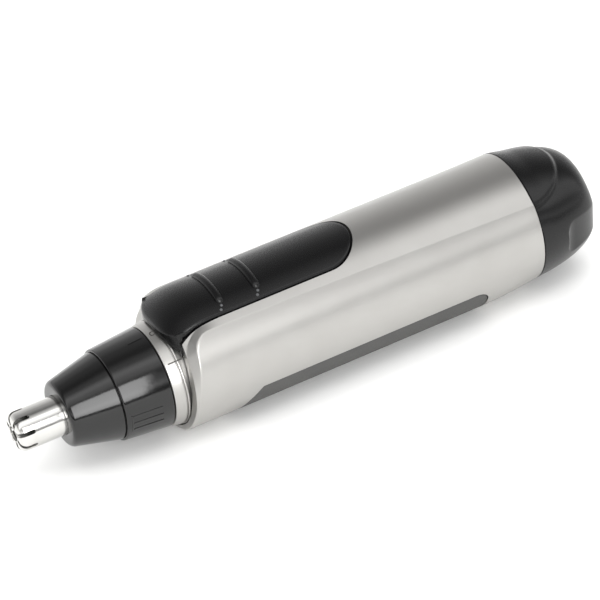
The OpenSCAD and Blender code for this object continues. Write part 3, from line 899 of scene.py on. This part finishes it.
def slot_cutter(width, length):
    """A bar that runs out from the axis, with a round rear end."""
    outline = [(-1.0, -width / 2), (length - width / 2, -width / 2)]
    outline += [(length - width / 2 + width / 2 * math.sin(a), -width / 2 * math.cos(a)) for a in
                (math.pi * i / 12 for i in range(1, 12))]
    outline += [(length - width / 2, width / 2), (-1.0, width / 2)]
    low = [Vector((s * MM, y * MM, 1.75 * MM)) for s, y in outline]
    high = [Vector((s * MM, y * MM, 6.0 * MM)) for s, y in outline]
    n = len(outline)
    faces = [tuple(range(n)), tuple(range(2 * n - 1, n - 1, -1))]
    faces += [(i, (i + 1) % n, n + (i + 1) % n, n + i) for i in range(n)]
    return solid("slot", low + high, faces)


def springs():
    coil = coil_tree()
    wound = [
        ("blade_coil", "cutter", "blade_spring", 5.0, 2.1, 2.1, 13.45, 18.3, 0.22, BLADE_Z),
        ("battery_coil", "cap_insert", "battery_spring", 4.0, 3.2, 5.6, 111.6, 117.7, 0.4, BODY_Z),
    ]
    for name, body, cad, turns, r0, r1, start, end, wire, height in wound:
        spring = new_object(name, bpy.data.meshes.new(name))
        run_tree(spring, coil, {
            "Turns": turns, "Start radius": r0 * MM, "End radius": r1 * MM,
            "Length": (end - start) * MM, "Wire radius": wire * MM, "Start": at(start, 0, height),
            "Material": spring_wire}, sharp=50)
        finish(spring, body, "spring_steel", spring_wire, cad)


# ---------------------------------------------------------------- the object

EVEN_ROW = row_tree()
body_case()
grip_pad()
thumb_slider()
thumb_ribs()
rear_cap()
head_parts()
head_marks()
neck_band()
blade_tube()
springs()
for name, material in NODE_MATERIALS.items():
    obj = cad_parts[name]
    obj.data.materials.clear()
    obj.data.materials.append(material)


# ---------------------------------------------------------------- stage

def area_light(name, place, target, width, height, power, glossy=True):
    light = bpy.data.lights.new(name, "AREA")
    light.shape = "RECTANGLE"
    light.size = width
    light.size_y = height
    light.energy = power
    obj = bpy.data.objects.new(name, light)
    obj.location = place
    obj.rotation_euler = (Vector(target) - Vector(place)).to_track_quat("-Z", "Y").to_euler()
    obj.visible_glossy = glossy
    bpy.context.scene.collection.objects.link(obj)


def stage():
    floor_mesh = bpy.data.meshes.new("floor")
    half = 3.0
    floor_mesh.from_pydata([(-half, -half, 0), (half, -half, 0), (half, half, 0), (-half, half, 0)], [],
                           [(0, 1, 2, 3)])
    floor = new_object("floor", floor_mesh)
    floor.data.materials.append(grained("pale paper sweep", "#f3f3f2", "#f7f7f6", 1.5, 0.8, 0.03, 0.02))
    studio_world()
    area_light("side softbox", (-0.12, -0.80, 0.40), (0, 0, 0.01), 0.46, 0.62, 5.0)
    area_light("floor fill", (0.1, 0.2, 1.2), (0, 0, 0), 1.6, 1.6, 14, glossy=False)


def studio_world():
    """A white studio whose ceiling darkens overhead: bands in the paint, a plain backdrop behind."""
    world = bpy.data.worlds.new("studio")
    world.use_nodes = True
    tree = world.node_tree
    tree.nodes.clear()
    place = node(tree, "ShaderNodeTexCoord")
    axes = node(tree, "ShaderNodeSeparateXYZ", {0: place.outputs["Generated"]})
    toward = node(tree, "ShaderNodeMath", {0: axes.outputs["Y"], 1: -1.0}, operation="MULTIPLY")
    tilt = node(tree, "ShaderNodeMath", {0: toward.outputs[0], 1: axes.outputs["Z"]}, operation="ARCTAN2")
    along = node(tree, "ShaderNodeMapRange", {
        "Value": tilt.outputs[0], "From Min": math.radians(-110), "From Max": math.radians(110)})
    ramp = node(tree, "ShaderNodeValToRGB", {0: along.outputs[0]})
    bands = [(-110, 0.5), (-75, 0.5), (-55, 0.34), (-35, 0.2), (-12, 0.1), (5, 0.35), (20, 1.0),
             (32, 0.7), (46, 0.22), (60, 0.4), (72, 0.75), (84, 0.1), (98, 0.4)]
    ramp.color_ramp.interpolation = "EASE"
    stops = ramp.color_ramp.elements
    while len(stops) < len(bands):
        stops.new(0.5)
    for stop, (degrees, level) in zip(stops, bands):
        stop.position = (degrees + 110) / 220
        stop.color = (level, level, level, 1)
    sky = node(tree, "ShaderNodeBackground", {"Color": ramp.outputs[0], "Strength": 2.0})
    backdrop = node(tree, "ShaderNodeBackground", {"Color": (0.92, 0.92, 0.915, 1), "Strength": 1.0})
    ray = node(tree, "ShaderNodeLightPath")
    seen = node(tree, "ShaderNodeMixShader", {
        0: ray.outputs["Is Camera Ray"], 1: sky.outputs[0], 2: backdrop.outputs[0]})
    node(tree, "ShaderNodeOutputWorld", {"Surface": seen.outputs[0]})
    bpy.context.scene.world = world
    bpy.context.scene.view_settings.view_transform = "Standard"


def camera():
    """Looks down on the trimmer from its nose side, with the frame turned so that the tail rises."""
    azimuth = math.radians(-24.2)
    elevation = math.radians(35.8)
    roll = math.radians(7.9)
    distance = 0.8
    target = at(62.5, 0, 13.0)
    back = Vector((math.sin(azimuth) * math.cos(elevation), -math.cos(azimuth) * math.cos(elevation),
                   math.sin(elevation)))
    data = bpy.data.cameras.new("camera")
    data.lens = 247
    data.sensor_width = 36
    obj = bpy.data.objects.new("camera", data)
    facing = back.to_track_quat("Z", "Y").to_matrix().to_4x4()
    turned_view = facing @ Matrix.Rotation(-roll, 4, "Z")
    target += turned_view.to_3x3() @ Vector((0, 1.75 * MM, 0))
    obj.matrix_world = Matrix.Translation(target + back * distance) @ turned_view
    bpy.context.scene.collection.objects.link(obj)
    bpy.context.scene.camera = obj


stage()
camera()
